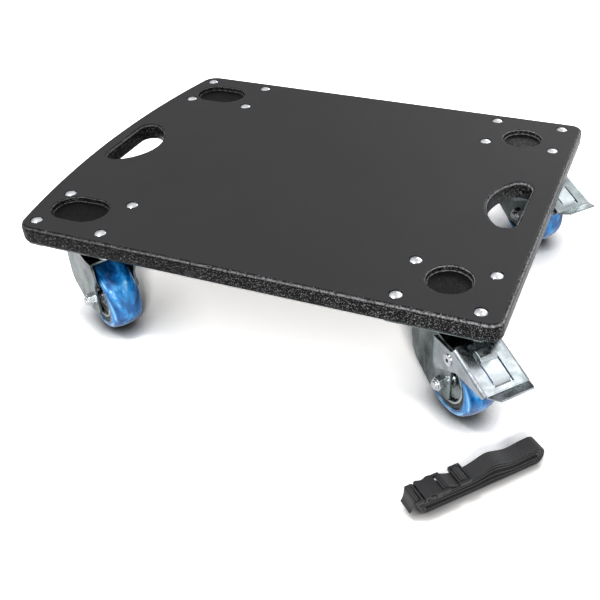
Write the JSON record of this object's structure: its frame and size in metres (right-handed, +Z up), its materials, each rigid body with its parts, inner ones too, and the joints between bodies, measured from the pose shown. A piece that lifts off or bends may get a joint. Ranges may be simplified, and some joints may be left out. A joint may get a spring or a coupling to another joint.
{
  "type": "caster board",
  "caption": "Low transport board with four swivel casters, two of them braked, two handle openings, foot recesses and a folded webbing strap beside it.",
  "frame": {"origin": "centre of the deck's top face", "axes": "+X along the deck to its straight end, +Y across it to the long side away from the strap, +Z up out of the load face"},
  "size_m": [0.5946, 0.5518, 0.1282],
  "materials": {
    "deck_paint": "textured",
    "zinc_plate": "satin",
    "bright_zinc": "polished",
    "ball_steel": "polished",
    "cover_steel": "satin",
    "spring_steel": "satin",
    "blue_tread": "translucent",
    "black_core": "matte",
    "strap_webbing": "woven",
    "buckle_plastic": "matte"
  },
  "bodies": {
    "deck": {"deck_board": "deck_paint", "plate_bolts": "bright_zinc", "plate_nuts": "bright_zinc", "front_right_plate": "zinc_plate", "front_right_kingpin": "zinc_plate", "rear_right_plate": "zinc_plate", "rear_right_kingpin": "zinc_plate", "front_left_plate": "zinc_plate", "front_left_kingpin": "zinc_plate", "rear_left_plate": "zinc_plate", "rear_left_kingpin": "zinc_plate"},
    "front_right_swivel": {"front_right_fork": "zinc_plate", "front_right_swivel_balls": "ball_steel", "front_right_axle_sleeve": "ball_steel", "front_right_axle_bolt": "bright_zinc", "front_right_axle_nut": "bright_zinc", "front_right_brake_rivets": "bright_zinc"},
    "front_right_wheel": {"front_right_tyre": "blue_tread", "front_right_wheel_core": "black_core", "front_right_wheel_bearings": "ball_steel", "front_right_dust_covers": "cover_steel"},
    "front_right_brake": {"front_right_brake_pedal": "zinc_plate", "front_right_brake_lever": "zinc_plate", "front_right_brake_strip": "spring_steel"},
    "rear_right_swivel": {"rear_right_fork": "zinc_plate", "rear_right_swivel_balls": "ball_steel", "rear_right_axle_sleeve": "ball_steel", "rear_right_axle_bolt": "bright_zinc", "rear_right_axle_nut": "bright_zinc", "rear_right_brake_rivets": "bright_zinc"},
    "rear_right_wheel": {"rear_right_tyre": "blue_tread", "rear_right_wheel_core": "black_core", "rear_right_wheel_bearings": "ball_steel", "rear_right_dust_covers": "cover_steel"},
    "rear_right_brake": {"rear_right_brake_pedal": "zinc_plate", "rear_right_brake_lever": "zinc_plate", "rear_right_brake_strip": "spring_steel"},
    "front_left_swivel": {"front_left_fork": "zinc_plate", "front_left_swivel_balls": "ball_steel", "front_left_axle_sleeve": "ball_steel", "front_left_axle_bolt": "bright_zinc", "front_left_axle_nut": "bright_zinc"},
    "front_left_wheel": {"front_left_tyre": "blue_tread", "front_left_wheel_core": "black_core", "front_left_wheel_bearings": "ball_steel", "front_left_dust_covers": "cover_steel"},
    "rear_left_swivel": {"rear_left_fork": "zinc_plate", "rear_left_swivel_balls": "ball_steel", "rear_left_axle_sleeve": "ball_steel", "rear_left_axle_bolt": "bright_zinc", "rear_left_axle_nut": "bright_zinc"},
    "rear_left_wheel": {"rear_left_tyre": "blue_tread", "rear_left_wheel_core": "black_core", "rear_left_wheel_bearings": "ball_steel", "rear_left_dust_covers": "cover_steel"},
    "strap": {"strap_webbing": "strap_webbing", "strap_buckle_socket": "buckle_plastic", "strap_buckle_plug": "buckle_plastic", "strap_slider": "buckle_plastic"}
  },
  "joints": [
    {"name": "front_right_swivel", "type": "hinge", "parent": "deck", "child": "front_right_swivel", "pos_m": [0.2075, -0.165, -0.024], "axis": [0, 0, 1], "continuous": true},
    {"name": "front_right_roll", "type": "hinge", "parent": "front_right_swivel", "child": "front_right_wheel", "pos_m": [0.23125, -0.18493, -0.087], "axis": [0.6428, 0.766, 0], "continuous": true},
    {"name": "front_right_brake", "type": "hinge", "parent": "front_right_swivel", "child": "front_right_brake", "pos_m": [0.24121, -0.19328, -0.0485], "axis": [0.6428, 0.766, 0], "range_deg": [0, 8]},
    {"name": "rear_right_swivel", "type": "hinge", "parent": "deck", "child": "rear_right_swivel", "pos_m": [0.2075, 0.165, -0.024], "axis": [0, 0, 1], "continuous": true},
    {"name": "rear_right_roll", "type": "hinge", "parent": "rear_right_swivel", "child": "rear_right_wheel", "pos_m": [0.23142, 0.14528, -0.087], "axis": [0.6361, 0.7716, 0], "continuous": true},
    {"name": "rear_right_brake", "type": "hinge", "parent": "rear_right_swivel", "child": "rear_right_brake", "pos_m": [0.24145, 0.13701, -0.0485], "axis": [0.6361, 0.7716, 0], "range_deg": [0, 8]},
    {"name": "front_left_swivel", "type": "hinge", "parent": "deck", "child": "front_left_swivel", "pos_m": [-0.1945, -0.165, -0.024], "axis": [0, 0, 1], "continuous": true},
    {"name": "front_left_roll", "type": "hinge", "parent": "front_left_swivel", "child": "front_left_wheel", "pos_m": [-0.16779, -0.18073, -0.087], "axis": [0.5075, 0.8616, 0], "continuous": true},
    {"name": "rear_left_swivel", "type": "hinge", "parent": "deck", "child": "rear_left_swivel", "pos_m": [-0.1945, 0.165, -0.024], "axis": [0, 0, 1], "continuous": true},
    {"name": "rear_left_roll", "type": "hinge", "parent": "rear_left_swivel", "child": "rear_left_wheel", "pos_m": [-0.1688, 0.14766, -0.087], "axis": [0.5592, 0.829, 0], "continuous": true},
    {"name": "strap_lift", "type": "slide", "parent": "deck", "child": "strap", "axis": [0, 0, 1], "range_m": [0, 0.04]}
  ]
}
